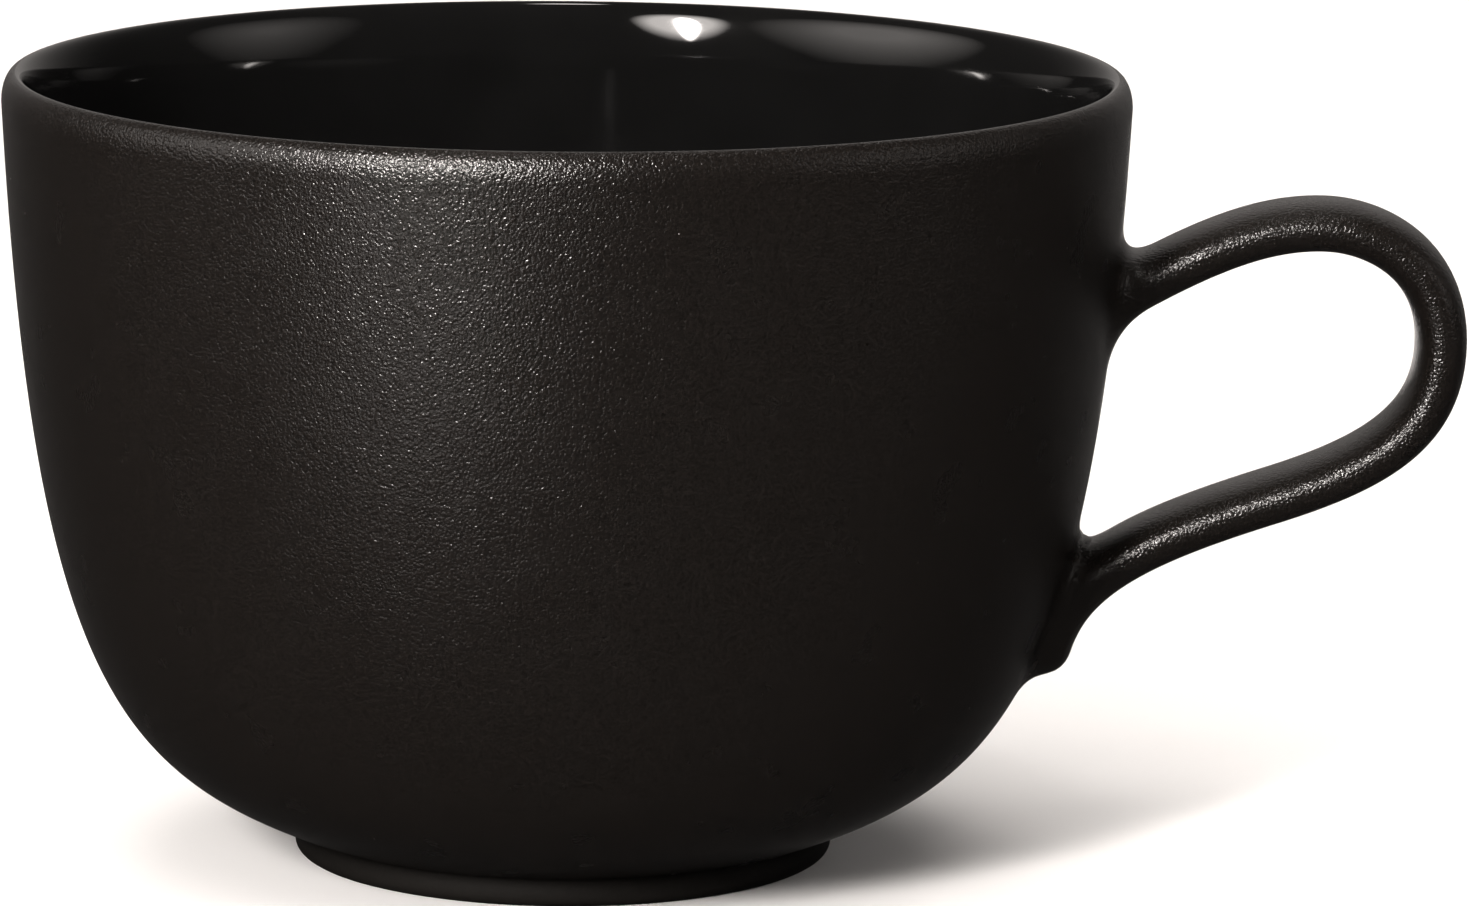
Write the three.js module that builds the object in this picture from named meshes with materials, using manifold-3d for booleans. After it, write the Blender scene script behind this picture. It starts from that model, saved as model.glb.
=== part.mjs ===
// A handled ceramic mug: a stoneware bowl on a turned foot ring, a strap handle luted to the wall with slip,
// a glossy glaze inside and a satin glaze outside.
//
// Millimetres, +Z up, standing on z = 0. The handle points along +X, and the origin is under the middle of
// the whole outline. In a profile r is the distance from the bowl's axis and z the height above the table.

import * as THREE from "three";
import { mergeVertices } from "three/addons/utils/BufferGeometryUtils.js";
import Module from "manifold-3d";

// ---- Bowl ----
const cupHeight = 78.8; // table to the crown of the lip
const rimRadius = 56.07; // outside of the wall where the lip begins
const wallThickness = 3.4; // where the inside of the lip begins
const crownInset = 1.35; // crown of the lip in from the outside of the wall
const lipRise = 2.8; // crown above the place where the lip begins outside
const innerLipRise = 7; // crown above the place where the lip begins inside
const wallFlare = 2.8; // degrees that the wall leans outward under the lip
const wallPull = 60.4; // how far down the wall stays nearly straight
const bellyRootRadius = 27.2; // where the belly meets the foot ring
const bellySlope = 21.3; // degrees above level where the belly leaves the foot ring
const bellyPull = 17.6; // how far out the belly stays nearly flat
const floorHeight = 6.5; // inside floor above the table
const floorPull = 42; // how far out the inside floor stays nearly flat
const innerWallPull = 53; // how far down the inside wall stays nearly straight

// ---- Foot ring ----
const footHeight = 2.9;
const footOuterRadius = 27;
const footInnerRadius = 21.5;
const footEdgeRadius = 1;

// ---- Handle: an oval strap along a curve in the plane y = 0, hung from the lip and the rim ----
const strapWidth = 12.4;
const strapThickness = 5.15;
const handleProjection = 33.63; // rim to the outermost face of the handle
const upperRootDrop = 21.6; // lip to the middle of the upper root
const upperRootSlope = 30.8; // degrees above level where the strap leaves the upper root
const upperRootPull = 11.4;
const upperRootDepth = 4; // how far the strap runs on into the wall before it is cut
const crownDrop = 14.1; // lip to the highest point of the strap's middle line
const crownReach = 19; // the same point, out from the rim
const crownPull = 5.1;
const bendDrop = 25.85; // lip to the outermost point of the strap's middle line
const bendPull = 8.6;
const branchDrop = 41.7; // lip to a point on the straight lower branch
const branchReach = 14.4; // the same point, out from the rim
const branchSlope = 18.6; // degrees above level
const branchOuterPull = 10.9;
const branchInnerPull = 14.8;
const tailDrop = 58.2; // lip to the end of the tail that runs down the wall
const tailStandoff = 0.8; // the tail's middle line outside the wall
const tailLean = 12; // degrees steeper than the wall beside it
const tailPull = 8.2;

// ---- Slip joints and glazes ----
const slipThickness = 0.9; // luting slip between the wall and a handle root
const slipBead = 0.6; // how far the slip stands out round the root
const glazeThickness = 0.4;
const glazeGap = 0.05; // between a glaze and the clay
const cutGap = 0.3; // left by every boolean cut

// ---- Smoothness ----
const segments = 48; // round the axis
const curveSteps = 10; // along each side of the bowl
const cornerSteps = 2; // along the outside of the lip and each rounded edge of the foot ring
const innerLipSteps = 4; // along the inside of the lip
const strapSteps = 46; // along the strap
const strapSides = 8; // round half of the strap
const halvings = 40; // of the curve, to find the wall at a height

const satinBlack = { color: 0x1a1918, roughness: 0.5, metalness: 0 };
const glossBlack = { color: 0x0b0b0b, roughness: 0.08, metalness: 0 };
const stoneware = { color: 0x6b5a4c, roughness: 0.9, metalness: 0 };

const point = (r, z) => new THREE.Vector2(r, z);
const radians = THREE.MathUtils.degToRad;
const quarterPull = 0.5523; // of a cubic curve that follows a quarter of an ellipse
const heading = (degrees, length) => point(length, 0).rotateAround(point(0, 0), radians(degrees));

// ---- Profiles of the finished, glazed bowl ----
const lipBase = cupHeight - lipRise;
const wallTop = point(rimRadius, lipBase);
const innerWallTop = point(rimRadius - wallThickness, cupHeight - innerLipRise);
const lipCrown = point(rimRadius - crownInset, cupHeight);
const bellyRoot = point(bellyRootRadius, footHeight);

const outerCurve = new THREE.CubicBezierCurve(
  bellyRoot,
  bellyRoot.clone().add(heading(bellySlope, bellyPull)),
  wallTop.clone().sub(heading(90 - wallFlare, wallPull)),
  wallTop,
);
const innerCurve = new THREE.CubicBezierCurve(
  innerWallTop,
  innerWallTop.clone().sub(heading(90 - wallFlare, innerWallPull)),
  point(floorPull, floorHeight),
  point(0, floorHeight),
);

// The lip climbs a quarter of an ellipse outside, and falls more gently inside.
const outerLip = new THREE.EllipseCurve(lipCrown.x, lipBase, crownInset, lipRise, 0, Math.PI / 2);
const innerLip = new THREE.CubicBezierCurve(
  lipCrown,
  lipCrown.clone().sub(heading(0, quarterPull * (wallThickness - crownInset))),
  innerWallTop.clone().add(heading(90 - wallFlare, quarterPull * innerLipRise)),
  innerWallTop,
);

const outerProfile = [...outerCurve.getPoints(curveSteps), ...outerLip.getPoints(cornerSteps).slice(1)];
const innerProfile = [...innerLip.getPoints(innerLipSteps), ...innerCurve.getPoints(curveSteps).slice(1)];

// Moves a profile that climbs the outside and ends on the axis away from the clay by the distance given.
function offset(points, distance) {
  return points.map((p, i) => {
    const before = points[i - 1] ?? p;
    const after = points[i + 1] ?? point(-before.x, before.y);
    const along = after.clone().sub(before).normalize();
    return point(p.x + along.y * distance, p.y - along.x * distance);
  });
}

const finishedProfile = [...outerProfile, ...innerProfile.slice(1)];
const crownIndex = outerProfile.length - 1;

// The same profile moved inwards, starting on the foot ring's top plane.
function insetProfile(distance) {
  const inset = offset(finishedProfile, -distance);
  inset[0] = point(bellyRootRadius - distance / Math.sin(radians(bellySlope)), footHeight);
  return inset;
}

// Where along its curve the finished wall reaches a height, found by halving the curve's range.
function wallPlace(z) {
  let low = 0;
  let high = 1;
  for (let i = 0; i < halvings; i += 1) {
    const middle = (low + high) / 2;
    if (outerCurve.getPoint(middle).y < z) low = middle;
    else high = middle;
  }
  return low;
}

const wallPoint = (z) => outerCurve.getPoint(wallPlace(z));
const wallSlope = (z) => THREE.MathUtils.radToDeg(outerCurve.getTangent(wallPlace(z)).angle());

// ---- Solids ----
function revolve(profile) {
  return new THREE.LatheGeometry(profile, segments).rotateX(Math.PI / 2);
}

const library = await Module();
library.setup();

function toSolid(geometry) {
  const bare = geometry.clone();
  bare.deleteAttribute("normal");
  bare.deleteAttribute("uv");
  const merged = mergeVertices(bare);
  const corners = merged.index.array;
  const triVerts = [];
  for (let i = 0; i < corners.length; i += 3) {
    const [a, b, c] = corners.slice(i, i + 3);
    if (a !== b && b !== c && c !== a) triVerts.push(a, b, c);
  }
  const vertProperties = Float32Array.from(merged.attributes.position.array);
  const mesh = new library.Mesh({ numProp: 3, vertProperties, triVerts: Uint32Array.from(triVerts) });
  return new library.Manifold(mesh);
}

function toGeometry(solid) {
  const mesh = solid.getMesh();
  const geometry = new THREE.BufferGeometry();
  geometry.setAttribute("position", new THREE.BufferAttribute(mesh.vertProperties, 3));
  geometry.setIndex(new THREE.BufferAttribute(mesh.triVerts, 1));
  geometry.computeVertexNormals();
  return geometry;
}

// Everything inside the finished wall moved out by a distance, as one solid of revolution.
function wallSolid(distance) {
  const wall = offset(outerProfile, distance).slice(0, curveSteps + 1);
  const first = wall[0];
  const last = wall[curveSteps];
  return toSolid(revolve([point(0, first.y), ...wall, point(0, last.y)]));
}

// ---- Handle ----
const inPlane = (p) => new THREE.Vector3(p.x, 0, p.y);

// One stretch of the strap's middle line, with the pulls that shape it at its two ends.
function stretch(from, leaving, arriving, to) {
  const points = [from, from.clone().add(leaving), to.clone().add(arriving), to];
  return new THREE.CubicBezierCurve3(...points.map(inPlane));
}

// From inside the wall at the upper root, over the crown, round the bend and down the lower branch to the
// tail, which can be made longer.
function handlePath(tailExtra) {
  const fromRim = (reach, drop) => point(rimRadius + reach, cupHeight - drop);
  const rootHeight = cupHeight - upperRootDrop;
  const root = wallPoint(rootHeight);
  const crown = fromRim(crownReach, crownDrop);
  const bend = fromRim(handleProjection - strapThickness / 2, bendDrop);
  const branch = fromRim(branchReach, branchDrop);
  const tailHeight = cupHeight - tailDrop;
  const tail = wallPoint(tailHeight).add(point(tailStandoff, 0));
  const tailSlope = wallSlope(tailHeight) + tailLean;
  const start = root.clone().sub(heading(upperRootSlope, upperRootDepth));
  const end = tail.clone().sub(heading(tailSlope, tailExtra));
  const path = new THREE.CurvePath();
  path.add(new THREE.LineCurve3(inPlane(start), inPlane(root)));
  path.add(stretch(root, heading(upperRootSlope, upperRootPull), point(-crownPull, 0), crown));
  path.add(stretch(crown, point(crownPull, 0), point(0, bendPull), bend));
  path.add(stretch(bend, point(0, -bendPull), heading(branchSlope, branchOuterPull), branch));
  path.add(stretch(branch, heading(branchSlope, -branchInnerPull), heading(tailSlope, tailPull), tail));
  if (tailExtra > 0) path.add(new THREE.LineCurve3(inPlane(tail), inPlane(end)));
  return path;
}

// The strap along its whole path, made thicker all round, and longer at the tail, by the growth given.
function strap(growth) {
  const section = new THREE.Shape();
  section.absellipse(0, 0, strapWidth / 2 + growth, strapThickness / 2 + growth, 0, 2 * Math.PI);
  return toSolid(
    new THREE.ExtrudeGeometry(section, {
      extrudePath: handlePath(growth),
      steps: strapSteps,
      curveSegments: strapSides,
    }),
  );
}

// Slip fills the seat between the clay wall and each handle root.
const slipInside = cutGap - glazeThickness - glazeGap;
const slipOutside = slipInside + slipThickness;

function slipSolids() {
  const seat = wallSolid(slipOutside).subtract(wallSolid(slipInside));
  const pads = strap(slipBead).intersect(seat).decompose();
  const height = (pad) => pad.boundingBox().min[2];
  return pads.sort((a, b) => height(b) - height(a));
}

const [upperSlip, lowerSlip] = slipSolids();
const handleSolid = strap(0).subtract(wallSolid(slipOutside + cutGap));

// ---- Clay and glaze ----
const clayProfile = insetProfile(glazeThickness + glazeGap);
const glazeBackProfile = insetProfile(glazeThickness);

function clayBowl() {
  return revolve([point(0, footHeight), ...clayProfile]);
}

function footRing() {
  const roundedEdge = (r, from) =>
    new THREE.EllipseCurve(r, footEdgeRadius, footEdgeRadius, footEdgeRadius, from, from + Math.PI / 2);
  const innerEdge = roundedEdge(footInnerRadius + footEdgeRadius, Math.PI).getPoints(cornerSteps);
  const outerEdge = roundedEdge(footOuterRadius - footEdgeRadius, -Math.PI / 2).getPoints(cornerSteps);
  const top = [point(footOuterRadius, footHeight), point(footInnerRadius, footHeight)];
  return revolve([...innerEdge, ...outerEdge, ...top, innerEdge[0]]);
}

function outerGlaze() {
  const back = glazeBackProfile.slice(0, crownIndex + 1).reverse();
  const coat = toSolid(revolve([...outerProfile, ...back, outerProfile[0]]));
  return toGeometry(coat.subtract(strap(slipBead + cutGap)));
}

// The liner meets the outer glaze face to face along the crown of the lip.
function innerGlaze() {
  const back = glazeBackProfile.slice(crownIndex).reverse();
  return revolve([...innerProfile, ...back, innerProfile[0]]);
}

// ---- Assembly ----
const mug = new THREE.Group();
mug.position.x = -handleProjection / 2;

function place(name, geometry, finish) {
  const mesh = new THREE.Mesh(geometry, new THREE.MeshStandardMaterial(finish));
  mesh.name = name;
  mug.add(mesh);
}

place("clay_bowl", clayBowl(), stoneware);
place("foot_ring", footRing(), stoneware);
place("handle", toGeometry(handleSolid), satinBlack);
place("upper_handle_slip", toGeometry(upperSlip), satinBlack);
place("lower_handle_slip", toGeometry(lowerSlip), satinBlack);
place("inner_gloss_glaze", innerGlaze(), glossBlack);
place("outer_satin_glaze", outerGlaze(), satinBlack);

export default mug;
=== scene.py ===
"""Looks of a handled ceramic mug: satin black glaze outside, glossy black glaze inside, bare clay underfoot.

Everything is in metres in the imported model's frame: +Z up, the handle along +X, the mug standing on z = 0.
In a profile r is the distance from the bowl's axis and z the height above the floor.
"""

import math

import bmesh
import bpy
import numpy as np
from mathutils import Matrix, Vector


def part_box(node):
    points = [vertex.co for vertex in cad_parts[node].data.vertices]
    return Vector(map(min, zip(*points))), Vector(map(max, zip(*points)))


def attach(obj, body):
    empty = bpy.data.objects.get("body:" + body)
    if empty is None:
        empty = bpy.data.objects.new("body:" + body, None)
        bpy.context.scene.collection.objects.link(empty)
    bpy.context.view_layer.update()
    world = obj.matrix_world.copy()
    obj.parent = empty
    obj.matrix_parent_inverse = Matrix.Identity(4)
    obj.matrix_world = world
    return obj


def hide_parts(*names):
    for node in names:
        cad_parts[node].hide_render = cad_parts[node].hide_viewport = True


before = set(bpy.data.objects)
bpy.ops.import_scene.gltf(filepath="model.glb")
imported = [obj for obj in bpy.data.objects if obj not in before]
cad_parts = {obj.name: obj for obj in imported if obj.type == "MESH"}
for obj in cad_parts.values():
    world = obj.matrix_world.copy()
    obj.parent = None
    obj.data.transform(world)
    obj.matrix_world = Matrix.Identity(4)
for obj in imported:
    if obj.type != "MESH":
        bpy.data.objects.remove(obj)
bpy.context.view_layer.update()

MM = 0.001

# ---- Sizes that the frame gives ----
glaze_low, glaze_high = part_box("outer_satin_glaze")
foot_low, foot_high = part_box("foot_ring")
handle_low, handle_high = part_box("handle")
AXIS_X = (glaze_low[0] + glaze_high[0]) / 2
RIM_RADIUS = (glaze_high[1] - glaze_low[1]) / 2
CROWN_Z = glaze_high[2]
FOOT_RADIUS = (foot_high[1] - foot_low[1]) / 2
FOOT_TOP = foot_high[2]
HANDLE_REACH = handle_high[0] - AXIS_X
STRAP_WIDTH = handle_high[1] - handle_low[1]

# ---- Bowl, as in the CAD ----
WALL_THICKNESS = 3.4 * MM
CROWN_INSET = 1.35 * MM
LIP_RISE = 2.8 * MM
INNER_LIP_RISE = 7 * MM
WALL_FLARE = math.radians(2.8)
WALL_PULL = 60.4 * MM
BELLY_ROOT_RADIUS = 27.2 * MM
BELLY_SLOPE = math.radians(21.3)
BELLY_PULL = 17.6 * MM
FLOOR_Z = 6.5 * MM
FLOOR_PULL = 42 * MM
INNER_WALL_PULL = 53 * MM
GLAZE = 0.4 * MM
FOOT_INNER_RADIUS = 21.5 * MM
FOOT_EDGE = 1 * MM

# ---- Handle, as in the CAD: heights are drops from the crown of the lip, reaches go out from the rim ----
STRAP_THICKNESS = 5.15 * MM
ROOT_DROP = 21.6 * MM
ROOT_SLOPE = math.radians(30.8)
ROOT_PULL = 11.4 * MM
CROWN_DROP = 14.1 * MM
CROWN_REACH = 19 * MM
CROWN_PULL = 5.1 * MM
BEND_DROP = 25.85 * MM
BEND_PULL = 8.6 * MM
BRANCH_DROP = 41.7 * MM
BRANCH_REACH = 14.4 * MM
BRANCH_SLOPE = math.radians(18.6)
BRANCH_OUTER_PULL = 10.9 * MM
BRANCH_INNER_PULL = 14.8 * MM
TAIL_DROP = 58.2 * MM
TAIL_STANDOFF = 0.8 * MM
TAIL_LEAN = math.radians(12)  # steeper than the wall beside it
TAIL_PULL = 8.2 * MM

# ---- Handle, only here ----
ROOT_DEPTH = 1.6 * MM  # how far the strap runs on into the wall at the upper root
TAIL_ROUNDING = 2.8 * MM  # length of the rounded end on the tail
TAIL_CUT = 1.4 * MM  # where the rounded end begins, before the end of the middle line
STRAP_SQUARENESS = 2.4  # power of the strap's section: the CAD's ellipse is 2, and more has flatter sides

# ---- Joint between the handle and the wall ----
FILLET = 3.6 * MM  # how far from the joint the slip fillet begins
FILLET_OVERLAP = 0.35 * MM  # how far each surface runs on under the other

# ---- Studio, round the mug ----
COVE_RADIUS = 3.0
COVE_BEND = 1.0
COVE_HEIGHT = 2.5
BACKDROP_RISE = 25  # degrees above level of the brightest light behind the mug
BACKDROP_FALLOFF = 4  # power by which that light fades to the sides
WARM = (1, 0.94, 0.9)

# ---- Mesh fineness ----
FINE_HALF_ANGLE = math.radians(15)  # of the wall's finely cut part, round the handle
FINE_STEP = math.radians(0.45)
COARSE_STEP = math.radians(1.5)
WALL_STEP = 0.45 * MM
STRAP_STEP = 0.4 * MM
STRAP_SIDES = 72
TAIL_RINGS = 7  # that round the tail's end
PLAIN_SIDES = 240  # round the axis of the liner and the foot ring
COVE_SIDES = 64
CURVE_POINTS = 400
LIP_POINTS = 24
INNER_LIP_POINTS = 40
EDGE_POINTS = 8
BATCH = 4000  # points whose nearest place on a line is found at one time


# ---- Curves ----
def direction(angle):
    return np.array([math.cos(angle), math.sin(angle)])


def bezier(start, leaving, arriving, end, count=CURVE_POINTS):
    """Points on a cubic curve; leaving and arriving are the pulls at its two ends."""
    t = np.linspace(0, 1, count)[:, None]
    a, b, c, d = start, start + leaving, end + arriving, end
    return (1 - t) ** 3 * a + 3 * (1 - t) ** 2 * t * b + 3 * (1 - t) * t**2 * c + t**3 * d


def quarter_ellipse(centre, half_width, half_height, from_angle, count=LIP_POINTS):
    angles = from_angle + np.linspace(0, math.pi / 2, count)
    return centre + np.stack([half_width * np.cos(angles), half_height * np.sin(angles)], 1)


def respaced(points, step):
    """The same line with its points a step apart."""
    lengths = np.linalg.norm(np.diff(points, axis=0), axis=1)
    along = np.concatenate([[0], np.cumsum(lengths)])
    places = np.linspace(0, along[-1], max(2, round(along[-1] / step) + 1))
    return np.stack([np.interp(places, along, points[:, i]) for i in range(points.shape[1])], 1)


def tangents(points):
    t = np.gradient(points, axis=0)
    return t / np.linalg.norm(t, axis=1)[:, None]


def inset(points, distance):
    """Moves a profile that climbs the outside to its left, into the clay."""
    t = tangents(points)
    return points + distance * np.stack([-t[:, 1], t[:, 0]], 1)


# ---- The bowl's finished profiles ----
LIP_BASE = CROWN_Z - LIP_RISE
LIP_CENTRE = np.array([RIM_RADIUS - CROWN_INSET, LIP_BASE])
LIP_CROWN = np.array([RIM_RADIUS - CROWN_INSET, CROWN_Z])
INNER_WALL_TOP = np.array([RIM_RADIUS - WALL_THICKNESS, CROWN_Z - INNER_LIP_RISE])
QUARTER_PULL = 0.5523  # of a cubic curve that follows a quarter of an ellipse
WALL_UP = direction(math.pi / 2 - WALL_FLARE)
outer_wall = bezier(
    np.array([BELLY_ROOT_RADIUS, FOOT_TOP]),
    BELLY_PULL * direction(BELLY_SLOPE),
    -WALL_PULL * WALL_UP,
    np.array([RIM_RADIUS, LIP_BASE]),
)
inner_wall = bezier(
    INNER_WALL_TOP,
    -INNER_WALL_PULL * WALL_UP,
    np.array([FLOOR_PULL, 0]),
    np.array([0, FLOOR_Z]),
)
outer_lip = quarter_ellipse(LIP_CENTRE, CROWN_INSET, LIP_RISE, 0)
inner_lip = bezier(
    LIP_CROWN,
    np.array([-QUARTER_PULL * (WALL_THICKNESS - CROWN_INSET), 0]),
    QUARTER_PULL * INNER_LIP_RISE * WALL_UP,
    INNER_WALL_TOP,
    INNER_LIP_POINTS,
)


def wall_radius(z):
    return np.interp(z, outer_wall[:, 1], outer_wall[:, 0])


def wall_slope(z):
    across, up = np.gradient(outer_wall, axis=0).T
    return np.interp(z, outer_wall[:, 1], np.arctan2(up, across))


# ---- The strap's middle line, in the plane y = 0, as r and z ----
def strap_line():
    root_z = CROWN_Z - ROOT_DROP
    root = np.array([wall_radius(root_z), root_z])
    crown = np.array([RIM_RADIUS + CROWN_REACH, CROWN_Z - CROWN_DROP])
    bend = np.array([HANDLE_REACH - STRAP_THICKNESS / 2, CROWN_Z - BEND_DROP])
    branch = np.array([RIM_RADIUS + BRANCH_REACH, CROWN_Z - BRANCH_DROP])
    tail_z = CROWN_Z - TAIL_DROP
    tail = np.array([wall_radius(tail_z) + TAIL_STANDOFF, tail_z])
    tail_slope = wall_slope(tail_z) + TAIL_LEAN
    level, up = np.array([1, 0]), np.array([0, 1])
    stretches = [
        np.array([root - ROOT_DEPTH * direction(ROOT_SLOPE), root]),
        bezier(root, ROOT_PULL * direction(ROOT_SLOPE), -CROWN_PULL * level, crown),
        bezier(crown, CROWN_PULL * level, BEND_PULL * up, bend),
        bezier(bend, -BEND_PULL * up, BRANCH_OUTER_PULL * direction(BRANCH_SLOPE), branch),
        bezier(branch, -BRANCH_INNER_PULL * direction(BRANCH_SLOPE), TAIL_PULL * direction(tail_slope), tail),
    ]
    line = respaced(np.concatenate([stretches[0][:1]] + [s[1:] for s in stretches]), STRAP_STEP)
    return line[: -round(TAIL_CUT / STRAP_STEP)]


strap = strap_line()
strap_tangents = tangents(strap)
strap_normals = np.stack([-strap_tangents[:, 1], strap_tangents[:, 0]], 1)


# ---- Distances to the two surfaces, which the fillet blends ----
def nearest(points, line):
    """Index of the line's nearest point to each point."""
    found = np.empty(len(points), int)
    for start in range(0, len(points), BATCH):
        part = points[start:start + BATCH]
        found[start:start + BATCH] = ((part[:, None] - line[None]) ** 2).sum(2).argmin(1)
    return found


wall_line = respaced(outer_wall, 0.2 * MM)
wall_tangents = tangents(wall_line)
wall_normals = np.stack([wall_tangents[:, 1], -wall_tangents[:, 0]], 1)


def radial(points):
    return np.stack([np.hypot(points[:, 0] - AXIS_X, points[:, 1]), points[:, 2]], 1)


def wall_distance(points):
    flat = radial(points)
    i = nearest(flat, wall_line)
    return ((flat - wall_line[i]) * wall_normals[i]).sum(1)


def strap_distance(points):
    flat = np.stack([points[:, 0] - AXIS_X, points[:, 2]], 1)
    i = nearest(flat, strap)
    away = flat - strap[i]
    over_end = np.where(i == len(strap) - 1, np.maximum((away * strap_tangents[i]).sum(1), 0), 0)
    local = np.stack([(away * strap_normals[i]).sum(1), points[:, 1], over_end], 1)
    halves = np.array([STRAP_THICKNESS / 2, STRAP_WIDTH / 2, TAIL_ROUNDING])
    share = np.abs(local) / halves + 1e-6
    power = STRAP_SQUARENESS
    reach = (share**power).sum(1) ** (1 / power)
    slope = np.linalg.norm((share / reach[:, None]) ** (power - 1) / halves, axis=1)
    return (reach - 1) / slope


def blended_distance(points):
    a, b = wall_distance(points), strap_distance(points)
    shared = np.maximum(FILLET - np.abs(a - b), 0)
    return np.minimum(a, b) - shared**2 / (4 * FILLET)


def settled(points, rounds=6):
    """Moves points onto the surface that blends the wall and the strap."""
    points = points.copy()
    step = 0.02 * MM
    for _ in range(rounds):
        changes = [blended_distance(points + e) - blended_distance(points - e) for e in np.eye(3) * step]
        slope = np.stack([change / (2 * step) for change in changes], 1)
        points -= (blended_distance(points) / (slope**2).sum(1))[:, None] * slope
    return points


def fillet(points, distance_to_other):
    """Settles those points that lie near the joint on the blend; the rest stay."""
    near = (distance_to_other < FILLET) & (distance_to_other > -FILLET_OVERLAP)
    points = points.copy()
    points[near] = settled(points[near])
    return points


# ---- Meshes ----
def make_piece(name, vertices, faces, material):
    mesh = bpy.data.meshes.new(name)
    mesh.from_pydata(vertices.tolist(), [], faces)
    mesh.validate()
    mesh.shade_smooth()
    mesh.materials.append(material)
    piece = bpy.data.objects.new(name, mesh)
    bpy.context.scene.collection.objects.link(piece)
    return piece


def turned(profile, angles):
    """Vertices and faces of a profile turned round the axis. A profile that doesn't touch the axis closes."""
    on_axis = profile[0, 0] < 1e-9
    rows, count = len(profile), len(angles)
    x = AXIS_X + profile[None, :, 0] * np.cos(angles)[:, None]
    y = profile[None, :, 0] * np.sin(angles)[:, None]
    z = np.broadcast_to(profile[:, 1], x.shape)
    vertices = np.stack([x, y, z], 2).reshape(-1, 3)
    faces = []
    for i in range(count):
        a, b = i * rows, (i + 1) % count * rows
        for j in range(rows - 1 if on_axis else rows):
            k = (j + 1) % rows
            faces.append((a + j, b + j, b + k, a + k))
    return vertices, faces


def even_angles(count):
    return np.linspace(0, 2 * math.pi, count, endpoint=False)


def wall_angles():
    """Fine steps round the handle, which is at angle 0, and coarse ones elsewhere."""
    fine = np.arange(-FINE_HALF_ANGLE, FINE_HALF_ANGLE, FINE_STEP)
    return np.concatenate([fine, np.arange(FINE_HALF_ANGLE, 2 * math.pi - FINE_HALF_ANGLE, COARSE_STEP)])


def merge_on_axis(piece):
    """Joins the points that a turned profile leaves on the axis."""
    shape = bmesh.new()
    shape.from_mesh(piece.data)
    bmesh.ops.remove_doubles(shape, verts=shape.verts, dist=0.001 * MM)
    bmesh.ops.recalc_face_normals(shape, faces=shape.faces)
    shape.to_mesh(piece.data)
    shape.free()
    piece.data.shade_smooth()
    return piece


def make_outer_glaze(material):
    front = np.concatenate([respaced(outer_wall, WALL_STEP), outer_lip[1:]])
    back = respaced(inset(np.concatenate([outer_wall, outer_lip[1:]]), GLAZE), 4 * WALL_STEP)[::-1]
    back[-1] = (BELLY_ROOT_RADIUS - GLAZE / math.sin(BELLY_SLOPE), FOOT_TOP)
    profile = np.concatenate([front, back])
    angles = wall_angles()
    vertices, faces = turned(profile, angles)
    outside = np.tile(np.arange(len(profile)) < len(front), len(angles))
    moved = vertices[outside]
    near = moved[:, 0] > AXIS_X
    moved[near] = fillet(moved[near], strap_distance(moved[near]))
    vertices[outside] = moved
    return merge_on_axis(make_piece("outer_satin_coat", vertices, faces, material))


def make_inner_glaze(material):
    front = np.concatenate([inner_lip, respaced(inner_wall, 2 * WALL_STEP)[1:]])
    back = respaced(inset(np.concatenate([inner_lip, inner_wall[1:]]), GLAZE), 4 * WALL_STEP)[::-1]
    back[0, 0] = 0
    vertices, faces = turned(np.concatenate([front, back])[::-1], even_angles(PLAIN_SIDES))
    return merge_on_axis(make_piece("inner_gloss_liner", vertices, faces, material))


def rounded(wave):
    """Turns a circle's sine or cosine into that of a rounder-cornered, flatter-sided oval."""
    return np.sign(wave) * np.abs(wave) ** (2 / STRAP_SQUARENESS)


def make_handle(material):
    """Oval rings along the strap, with a rounded end on the tail."""
    sides = even_angles(STRAP_SIDES)
    across = rounded(np.cos(sides)) * STRAP_THICKNESS / 2
    section = np.stack([across, rounded(np.sin(sides)) * STRAP_WIDTH / 2], 1)
    end_angles = np.linspace(0, math.pi / 2, TAIL_RINGS + 2)[1:-1]
    end_centres = strap[-1] + np.outer(np.sin(end_angles), strap_tangents[-1]) * TAIL_ROUNDING
    centres = np.concatenate([strap, end_centres])
    normals = np.concatenate([strap_normals, np.tile(strap_normals[-1], (len(end_angles), 1))])
    scales = np.concatenate([np.ones(len(strap)), np.cos(end_angles)])
    flat = centres[:, None] + normals[:, None] * section[None, :, :1] * scales[:, None, None]
    y = section[None, :, 1] * scales[:, None]
    vertices = np.stack([flat[..., 0] + AXIS_X, y, flat[..., 1]], 2).reshape(-1, 3)
    vertices = fillet(vertices, wall_distance(vertices))
    rings = len(centres)
    faces = []
    for i in range(rings - 1):
        a, b = i * STRAP_SIDES, (i + 1) * STRAP_SIDES
        for j in range(STRAP_SIDES):
            k = (j + 1) % STRAP_SIDES
            faces.append((a + j, a + k, b + k, b + j))
    faces.append(tuple(range(STRAP_SIDES))[::-1])
    faces.append(tuple(range((rings - 1) * STRAP_SIDES, rings * STRAP_SIDES)))
    return merge_on_axis(make_piece("strap_handle", vertices, faces, material))


def make_foot_ring(material):
    def rounded_edge(r, from_angle):
        return quarter_ellipse(np.array([r, FOOT_EDGE]), FOOT_EDGE, FOOT_EDGE, from_angle, EDGE_POINTS)

    inner_edge = rounded_edge(FOOT_INNER_RADIUS + FOOT_EDGE, math.pi)
    outer_edge = rounded_edge(FOOT_RADIUS - FOOT_EDGE, -math.pi / 2)
    top = np.array([[FOOT_RADIUS, FOOT_TOP], [FOOT_INNER_RADIUS, FOOT_TOP]])
    vertices, faces = turned(np.concatenate([inner_edge, outer_edge, top]), even_angles(PLAIN_SIDES))
    return merge_on_axis(make_piece("turned_foot_ring", vertices, faces, material))


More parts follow.
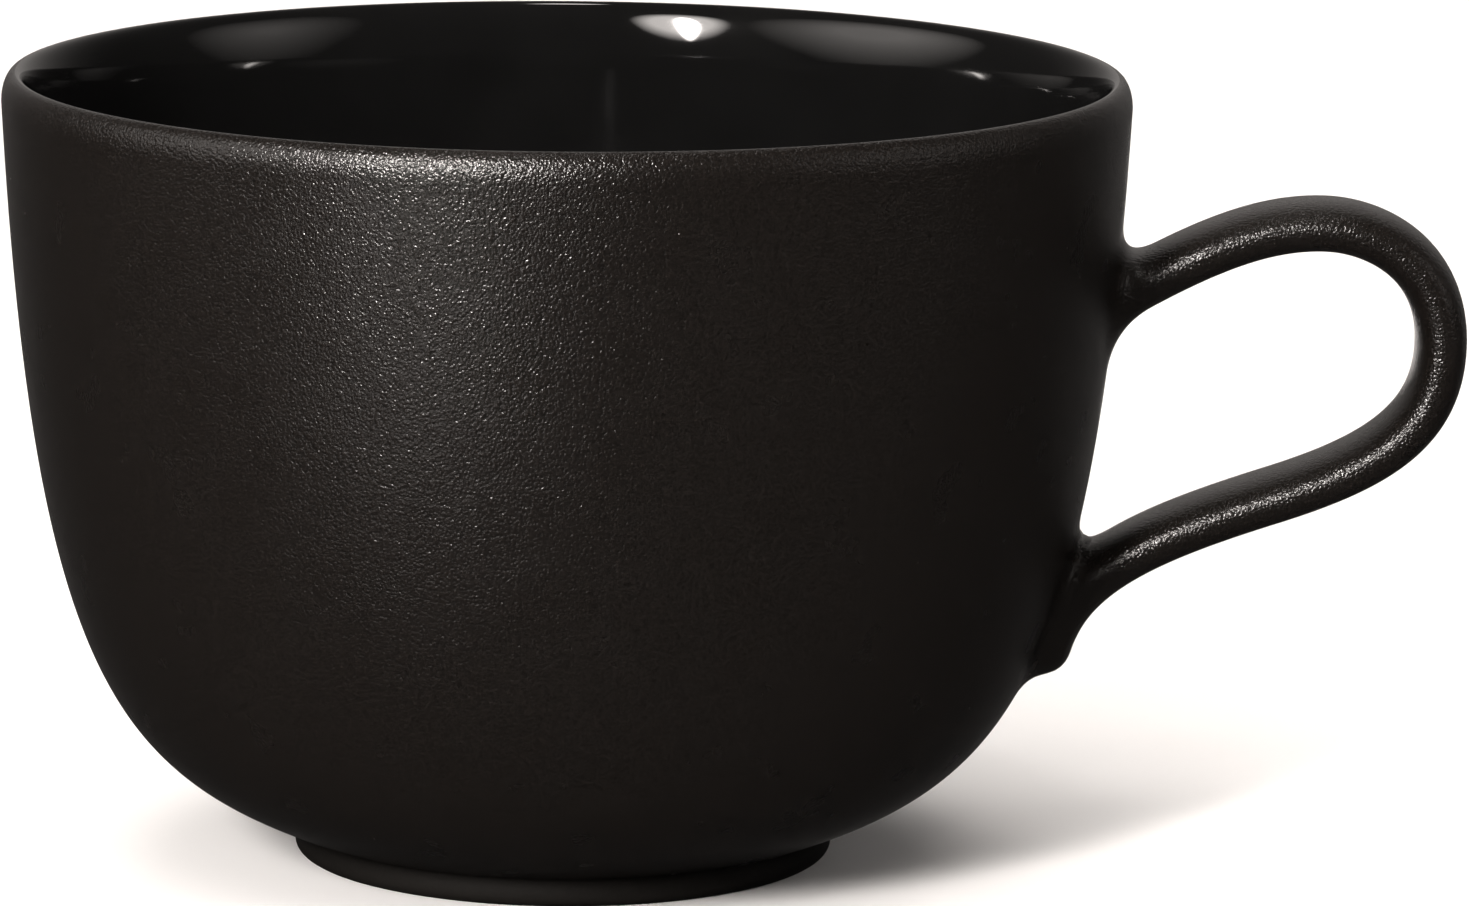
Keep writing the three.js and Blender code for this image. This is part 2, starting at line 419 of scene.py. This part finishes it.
# ---- Materials ----
def new_material(name):
    material = bpy.data.materials.new(name)
    material.use_nodes = True
    tree = material.node_tree
    return material, tree, tree.nodes["Principled BSDF"]


def object_noise(tree, size, detail):
    """Noise whose features are about the size given, fixed to the object."""
    place = tree.nodes.new("ShaderNodeTexCoord")
    noise = tree.nodes.new("ShaderNodeTexNoise")
    noise.inputs["Scale"].default_value = 1 / size
    noise.inputs["Detail"].default_value = detail
    tree.links.new(place.outputs["Object"], noise.inputs["Vector"])
    return noise.outputs["Fac"]


def mapped(tree, source, low, high, from_low=0.3, from_high=0.7):
    spread = tree.nodes.new("ShaderNodeMapRange")
    for name, value in (("From Min", from_low), ("From Max", from_high), ("To Min", low), ("To Max", high)):
        spread.inputs[name].default_value = value
    tree.links.new(source, spread.inputs["Value"])
    return spread.outputs["Result"]


def mixed_colour(tree, source, first, second):
    blend = tree.nodes.new("ShaderNodeMix")
    blend.data_type = "RGBA"
    blend.inputs[6].default_value = (*first, 1)
    blend.inputs[7].default_value = (*second, 1)
    tree.links.new(source, blend.inputs["Factor"])
    return blend.outputs[2]


def bumped(tree, height, depth):
    bump = tree.nodes.new("ShaderNodeBump")
    bump.inputs["Strength"].default_value = 1
    bump.inputs["Distance"].default_value = depth
    tree.links.new(height, bump.inputs["Height"])
    return bump.outputs["Normal"]


def satin_black():
    material, tree, shader = new_material("satin_black_glaze")
    grain = object_noise(tree, 0.28 * MM, 1)
    pull = object_noise(tree, 6 * MM, 3)
    colour = mixed_colour(tree, grain, (0.0006, 0.0005, 0.0004), (0.009, 0.0072, 0.0061))
    tree.links.new(colour, shader.inputs["Base Color"])
    tree.links.new(mapped(tree, pull, 0.22, 0.28), shader.inputs["Roughness"])
    tree.links.new(bumped(tree, grain, 0.125 * MM), shader.inputs["Normal"])
    return material


def gloss_black():
    material, tree, shader = new_material("gloss_black_glaze")
    drift = object_noise(tree, 9 * MM, 2)
    colour = mixed_colour(tree, drift, (0.003, 0.003, 0.003), (0.005, 0.005, 0.005))
    tree.links.new(colour, shader.inputs["Base Color"])
    tree.links.new(mapped(tree, drift, 0.04, 0.07), shader.inputs["Roughness"])
    tree.links.new(bumped(tree, drift, 0.02 * MM), shader.inputs["Normal"])
    return material


def matte_black():
    """The thin, dry glaze on the side of the foot ring."""
    material, tree, shader = new_material("matte_black_glaze")
    grit = object_noise(tree, 0.4 * MM, 3)
    colour = mixed_colour(tree, grit, (0.003, 0.0025, 0.002), (0.008, 0.007, 0.006))
    tree.links.new(colour, shader.inputs["Base Color"])
    shader.inputs["Roughness"].default_value = 0.7
    shader.inputs["Specular IOR Level"].default_value = 0.12
    tree.links.new(bumped(tree, grit, 0.03 * MM), shader.inputs["Normal"])
    return material


def bare_clay():
    material, tree, shader = new_material("bare_stoneware")
    grit = object_noise(tree, 0.5 * MM, 5)
    colour = mixed_colour(tree, grit, (0.2, 0.16, 0.13), (0.34, 0.28, 0.24))
    tree.links.new(colour, shader.inputs["Base Color"])
    tree.links.new(mapped(tree, grit, 0.8, 0.95), shader.inputs["Roughness"])
    tree.links.new(bumped(tree, grit, 0.05 * MM), shader.inputs["Normal"])
    return material


satin = satin_black()
gloss = gloss_black()
matte = matte_black()
clay = bare_clay()

# ---- The mug ----
outer = make_outer_glaze(satin)
handle = make_handle(satin)
liner = make_inner_glaze(gloss)
foot = make_foot_ring(matte)
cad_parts["clay_bowl"].data.materials[0] = clay

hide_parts("outer_satin_glaze")
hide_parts("handle", "upper_handle_slip", "lower_handle_slip")
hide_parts("inner_gloss_glaze")
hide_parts("foot_ring")
for piece in (outer, handle, liner, foot):
    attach(piece, "root")


# ---- Camera ----
CAMERA_TURN = math.radians(3)  # round the bowl's axis from square-on, towards the handle
CAMERA_DISTANCE = 0.7884
CAMERA_HEIGHT = 0.1871
CAMERA_PITCH = math.radians(10.54)
CAMERA_YAW = math.radians(1.23)
CAMERA_ROLL = math.radians(0.61)

camera = bpy.data.objects.new("camera", bpy.data.cameras.new("camera"))
camera.data.lens = 196.2
camera.data.sensor_width = 36
camera.matrix_world = (
    Matrix.Translation((AXIS_X, 0, 0))
    @ Matrix.Rotation(CAMERA_TURN, 4, "Z")
    @ Matrix.Translation((0, -CAMERA_DISTANCE, CAMERA_HEIGHT))
    @ Matrix.Rotation(-CAMERA_YAW, 4, "Z")
    @ Matrix.Rotation(math.pi / 2 - CAMERA_PITCH, 4, "X")
    @ Matrix.Rotation(CAMERA_ROLL, 4, "Z")
)
bpy.context.scene.collection.objects.link(camera)
bpy.context.scene.camera = camera


# ---- Studio ----
def area_light(name, width, height, power):
    light = bpy.data.lights.new(name, "AREA")
    light.shape = "RECTANGLE"
    light.size, light.size_y, light.energy = width, height, power
    light.color = WARM
    lamp = bpy.data.objects.new(name, light)
    lamp.visible_camera = False
    bpy.context.scene.collection.objects.link(lamp)
    return lamp


def towards(azimuth, elevation):
    """A direction from the mug. Azimuth 0 is square-on from the front, and grows towards the handle."""
    angle, rise = math.radians(azimuth), math.radians(elevation)
    return Vector((math.sin(angle) * math.cos(rise), -math.cos(angle) * math.cos(rise), math.sin(rise)))


def soften_edges(light, core):
    """Fades a light from its core, a share of its half-width, out to its edges."""
    light.use_nodes = True
    tree = light.node_tree
    place = tree.nodes.new("ShaderNodeNewGeometry")
    from_middle = tree.nodes.new("ShaderNodeVectorMath")
    from_middle.operation = "DISTANCE"
    from_middle.inputs[1].default_value = (0.5, 0.5, 0)
    tree.links.new(place.outputs["Parametric"], from_middle.inputs[0])
    fade = mapped(tree, from_middle.outputs["Value"], 1, 0, core / 2, 0.5)
    tree.links.new(fade, tree.nodes["Emission"].inputs["Strength"])


def soft_light(name, azimuth, elevation, distance, width, height, power, core=None):
    lamp = area_light(name, width, height, power)
    if core is not None:
        soften_edges(lamp.data, core)
    away = towards(azimuth, elevation)
    lamp.location = Vector((AXIS_X, 0, CROWN_Z / 2)) + distance * away
    lamp.rotation_euler = away.to_track_quat("Z", "Y").to_euler()
    return lamp


def bounce_card(name, azimuth, distance, width, depth, power):
    """A card lying beside the mug, which sends light up at the wall."""
    lamp = area_light(name, width, depth, power)
    lamp.location = Vector((AXIS_X, 0, 5 * MM)) + distance * towards(azimuth, 0)
    lamp.rotation_euler = (math.pi, 0, math.radians(azimuth))


soft_light("key", azimuth=-24, elevation=27, distance=1.1, width=0.42, height=0.6, power=10, core=0.6)
soft_light("key_core", azimuth=-25, elevation=24, distance=1.08, width=0.11, height=0.46, power=32, core=0.5)
soft_light("overhead", azimuth=5, elevation=86, distance=1.3, width=0.22, height=0.22, power=3, core=0.5)
soft_light("fill_left", azimuth=-73, elevation=24, distance=1.2, width=1.45, height=0.95, power=10, core=0.25)
soft_light("fill_right", azimuth=76, elevation=22, distance=1.2, width=1.0, height=0.9, power=3, core=0.1)
bounce_card("bounce", azimuth=-24, distance=0.34, width=0.08, depth=0.28, power=0.27)
bounce_card("bounce_behind", azimuth=172, distance=0.34, width=0.1, depth=0.26, power=0.12)
for name, azimuth in (("overhead_front", 10), ("overhead_back", 170)):
    wash = soft_light(name, azimuth, elevation=70, distance=1.5, width=1.4, height=1.2, power=16)
    wash.visible_glossy = False


def make_world(front, back):
    """Grey light from all round, brighter in the glazes where it comes from low behind the mug."""
    world = bpy.data.worlds.new("studio")
    world.use_nodes = True
    tree = world.node_tree
    place = tree.nodes.new("ShaderNodeTexCoord")
    nearness = tree.nodes.new("ShaderNodeVectorMath")
    nearness.operation = "DOT_PRODUCT"
    nearness.inputs[1].default_value = -towards(0, -BACKDROP_RISE)
    tree.links.new(place.outputs["Generated"], nearness.inputs[0])
    glow = tree.nodes.new("ShaderNodeMath")
    glow.operation = "POWER"
    glow.inputs[1].default_value = BACKDROP_FALLOFF
    tree.links.new(mapped(tree, nearness.outputs["Value"], 0, 1, 0.3, 1), glow.inputs[0])
    tree.links.new(
        mapped(tree, glow.outputs["Value"], front, back, 0, 1), tree.nodes["Background"].inputs["Strength"]
    )
    tree.nodes["Background"].inputs["Color"].default_value = (*WARM, 1)
    bpy.context.scene.world = world


make_world(front=0.025, back=0.5)


def make_cove():
    """A pale floor that curves up into a wall, far round the mug. The black glazes don't mirror it."""
    bend = quarter_ellipse(np.array([COVE_RADIUS - COVE_BEND, COVE_BEND]), COVE_BEND, COVE_BEND, -math.pi / 2)
    profile = np.concatenate([[[0.0, 0.0]], bend, [[COVE_RADIUS, COVE_HEIGHT]]])
    angles = even_angles(COVE_SIDES)
    x = AXIS_X + profile[None, :, 0] * np.cos(angles)[:, None]
    y = profile[None, :, 0] * np.sin(angles)[:, None]
    vertices = np.stack([x, y, np.broadcast_to(profile[:, 1], x.shape)], 2).reshape(-1, 3)
    rows = len(profile)
    faces = []
    for i in range(len(angles)):
        a, b = i * rows, (i + 1) % len(angles) * rows
        faces += [(a + j, b + j, b + j + 1, a + j + 1) for j in range(rows - 1)]
    paint, _, shader = new_material("pale_paint")
    shader.inputs["Base Color"].default_value = (0.9, 0.9, 0.9, 1)
    shader.inputs["Roughness"].default_value = 0.9
    cove = merge_on_axis(make_piece("cove", vertices, faces, paint))
    cove.visible_glossy = False


make_cove()

bpy.context.scene.view_settings.view_transform = "Standard"
